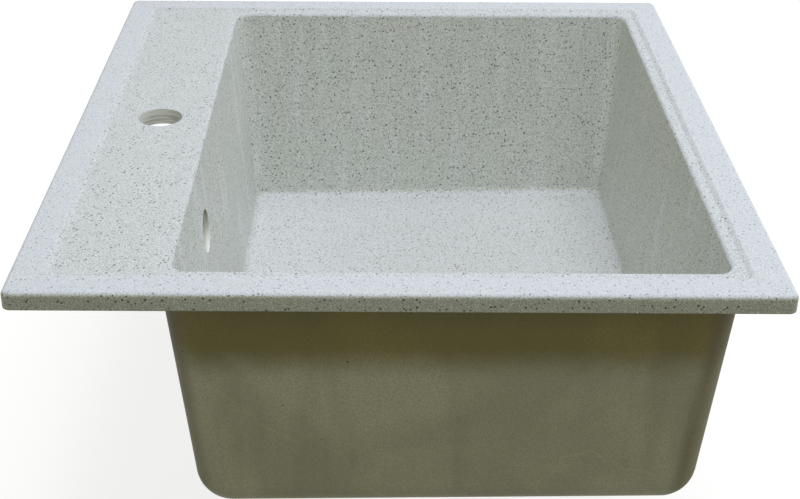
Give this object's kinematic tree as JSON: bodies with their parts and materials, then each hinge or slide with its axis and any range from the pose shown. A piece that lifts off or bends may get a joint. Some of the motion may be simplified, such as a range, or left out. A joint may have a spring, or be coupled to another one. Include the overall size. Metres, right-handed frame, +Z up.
{
  "type": "kitchen sink",
  "caption": "Drop-in stone composite kitchen sink with a deep rounded bowl, sunk panel and tap ledge, overflow hole, basket waste and swinging worktop clips.",
  "frame": {"origin": "middle of the worktop cut-out, on the plane of the worktop's top, which the rim rests on", "axes": "+Z up, +Y towards the tap ledge at the back, +X to the right of someone who stands at the sink"},
  "size_m": [0.57, 0.51, 0.298],
  "materials": {
    "composite": "matt quartz and resin gelcoat with dark specks inside and on top, raw khaki resin outside",
    "stainless": "brushed",
    "rubber": "matt moulded",
    "white_plastic": "satin moulded",
    "brass": "turned",
    "chrome": "polished",
    "zinc_plate": "dull zinc plate",
    "nylon": "moulded"
  },
  "bodies": {
    "sink": {"sink_body": "composite", "strainer_dish": "stainless", "dish_gasket": "rubber", "body_gasket": "rubber", "waste_body": "white_plastic", "clamp_screw": "stainless", "insert_nut": "brass", "front_left_plug": "nylon", "front_left_stud": "zinc_plate", "front_right_plug": "nylon", "front_right_stud": "zinc_plate", "back_left_plug": "nylon", "back_left_stud": "zinc_plate", "back_right_plug": "nylon", "back_right_stud": "zinc_plate"},
    "basket": {"strainer_basket": "stainless", "basket_seal": "rubber", "basket_knob": "chrome", "knob_nut": "zinc_plate"},
    "front_left_nut": {"front_left_nut": "zinc_plate"},
    "front_left_claw": {"front_left_claw": "zinc_plate"},
    "front_right_nut": {"front_right_nut": "zinc_plate"},
    "front_right_claw": {"front_right_claw": "zinc_plate"},
    "back_left_nut": {"back_left_nut": "zinc_plate"},
    "back_left_claw": {"back_left_claw": "zinc_plate"},
    "back_right_nut": {"back_right_nut": "zinc_plate"},
    "back_right_claw": {"back_right_claw": "zinc_plate"}
  },
  "joints": [
    {"name": "basket_lift", "type": "slide", "parent": "sink", "child": "basket", "axis": [0, 0, 1], "range_m": [0, 0.25]},
    {"name": "front_left_nut_run", "type": "slide", "parent": "sink", "child": "front_left_nut", "axis": [0, 0, 1], "range_m": [0, 0.021]},
    {"name": "front_left_claw_swing", "type": "hinge", "parent": "front_left_nut", "child": "front_left_claw", "pos_m": [-0.165, -0.237, -0.053], "axis": [0, 0, -1], "range_deg": [0, 90]},
    {"name": "front_right_nut_run", "type": "slide", "parent": "sink", "child": "front_right_nut", "axis": [0, 0, 1], "range_m": [0, 0.021]},
    {"name": "front_right_claw_swing", "type": "hinge", "parent": "front_right_nut", "child": "front_right_claw", "pos_m": [0.165, -0.237, -0.053], "axis": [0, 0, 1], "range_deg": [0, 90]},
    {"name": "back_left_nut_run", "type": "slide", "parent": "sink", "child": "back_left_nut", "axis": [0, 0, 1], "range_m": [0, 0.021]},
    {"name": "back_left_claw_swing", "type": "hinge", "parent": "back_left_nut", "child": "back_left_claw", "pos_m": [-0.165, 0.237, -0.053], "axis": [0, 0, 1], "range_deg": [0, 90]},
    {"name": "back_right_nut_run", "type": "slide", "parent": "sink", "child": "back_right_nut", "axis": [0, 0, 1], "range_m": [0, 0.021]},
    {"name": "back_right_claw_swing", "type": "hinge", "parent": "back_right_nut", "child": "back_right_claw", "pos_m": [0.165, 0.237, -0.053], "axis": [0, 0, -1], "range_deg": [0, 90]}
  ]
}
